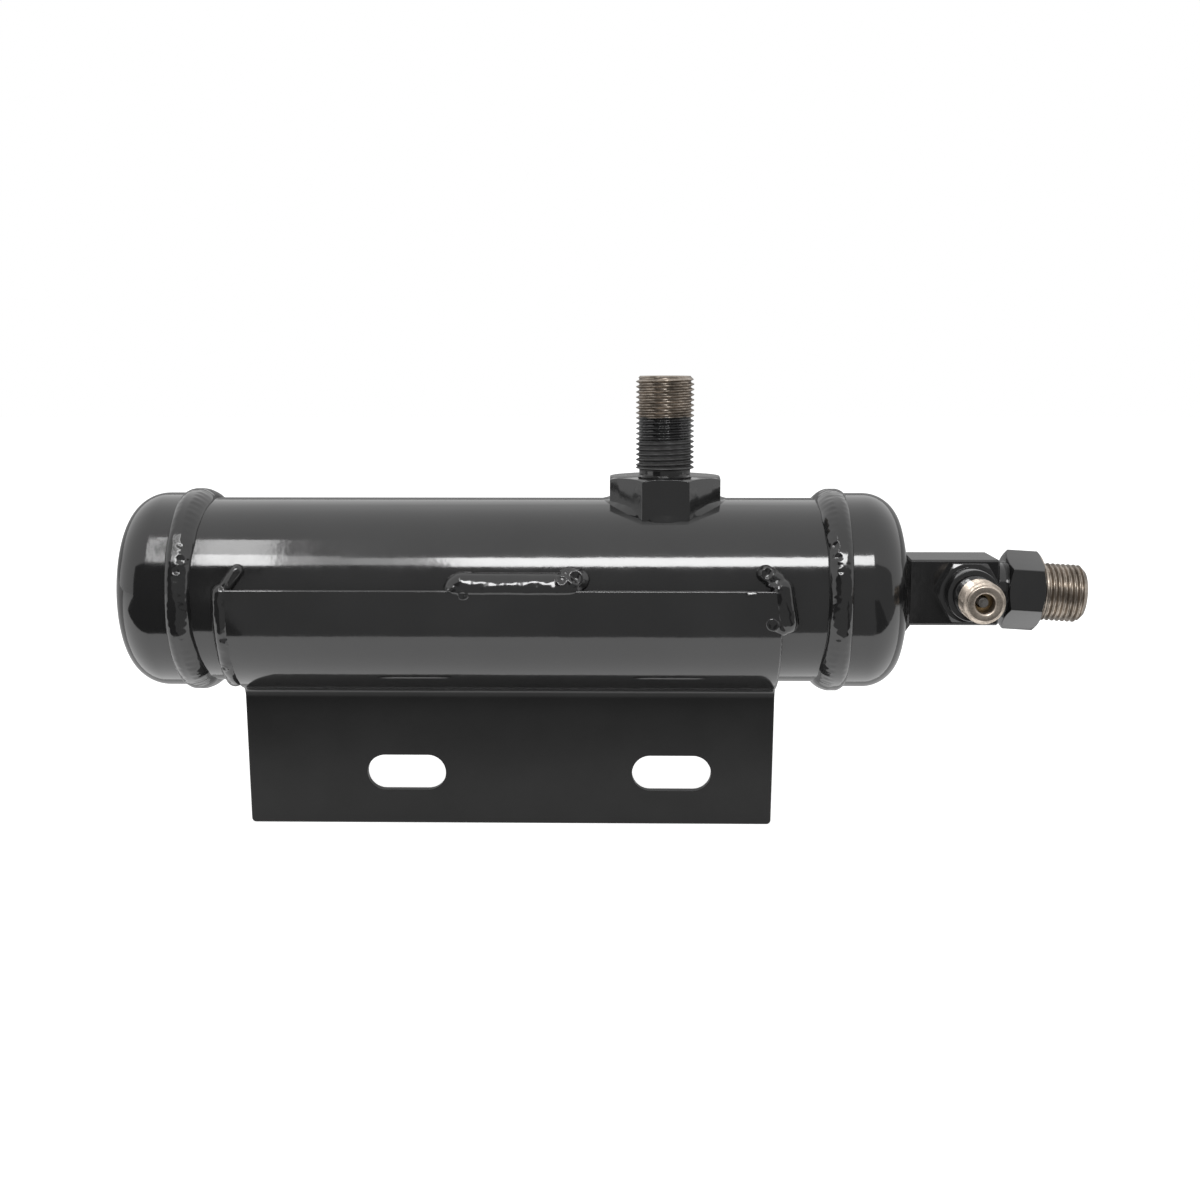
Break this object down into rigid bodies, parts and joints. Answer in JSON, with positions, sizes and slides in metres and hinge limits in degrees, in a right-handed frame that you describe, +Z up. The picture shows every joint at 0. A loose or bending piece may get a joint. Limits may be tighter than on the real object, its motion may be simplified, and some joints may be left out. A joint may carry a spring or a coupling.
{
  "type": "receiver drier",
  "caption": "Horizontal refrigeration receiver drier: welded steel vessel with domed caps, threaded top stud, end block with hex connector and service port, and a slotted sheet bracket.",
  "frame": {"origin": "middle of the two bracket slots, on the back face of the bracket's plate", "axes": "+X along the vessel towards the outlet, +Z up along the inlet stud, -Y towards the front, where the service port points"},
  "size_m": [0.2649, 0.0589, 0.1243],
  "materials": {
    "black_enamel": "gloss black enamel over steel",
    "painted_weld": "gloss black enamel over rippled weld",
    "fitting_steel": "turned steel, painted but for the thread ends",
    "washer_metal": "flat sealing washer with overspray",
    "seal_rubber": "smooth moulded",
    "valve_brass": "turned",
    "valve_steel": "turned",
    "spring_steel": "drawn wire",
    "inner_tube": "drawn",
    "plate_steel": "pressed sheet",
    "filter_felt": "felt",
    "desiccant_beads": "packed bead bed"
  },
  "bodies": {
    "drier": {"shell_tube": "black_enamel", "left_end_cap": "black_enamel", "right_end_cap": "black_enamel", "left_cap_weld": "painted_weld", "right_cap_weld": "painted_weld", "mounting_bracket": "black_enamel", "bracket_weld_left": "painted_weld", "bracket_weld_centre": "painted_weld", "bracket_weld_right": "painted_weld", "inlet_fitting": "fitting_steel", "inlet_weld": "painted_weld", "outlet_block": "black_enamel", "block_weld": "painted_weld", "outlet_connector": "fitting_steel", "connector_washer": "washer_metal", "service_port_body": "fitting_steel", "port_seal": "seal_rubber", "valve_core_body": "valve_brass", "valve_core_seal": "seal_rubber", "valve_spring": "spring_steel", "pickup_tube": "inner_tube", "pickup_strainer": "inner_tube", "left_retainer_plate": "plate_steel", "left_filter_pad": "filter_felt", "desiccant_bed": "desiccant_beads", "right_filter_pad": "filter_felt", "right_retainer_plate": "plate_steel", "bed_spring": "spring_steel", "bed_stop_ring": "plate_steel"},
    "pin": {"valve_pin": "valve_steel", "valve_pin_seal": "seal_rubber"}
  },
  "joints": [
    {"name": "valve_press", "type": "slide", "parent": "drier", "child": "pin", "axis": [0, 1, 0], "range_m": [0, 0.0015], "stiffness_N_per_m": 1500, "springref_m": -0.002, "deforming": ["valve_spring"]}
  ]
}
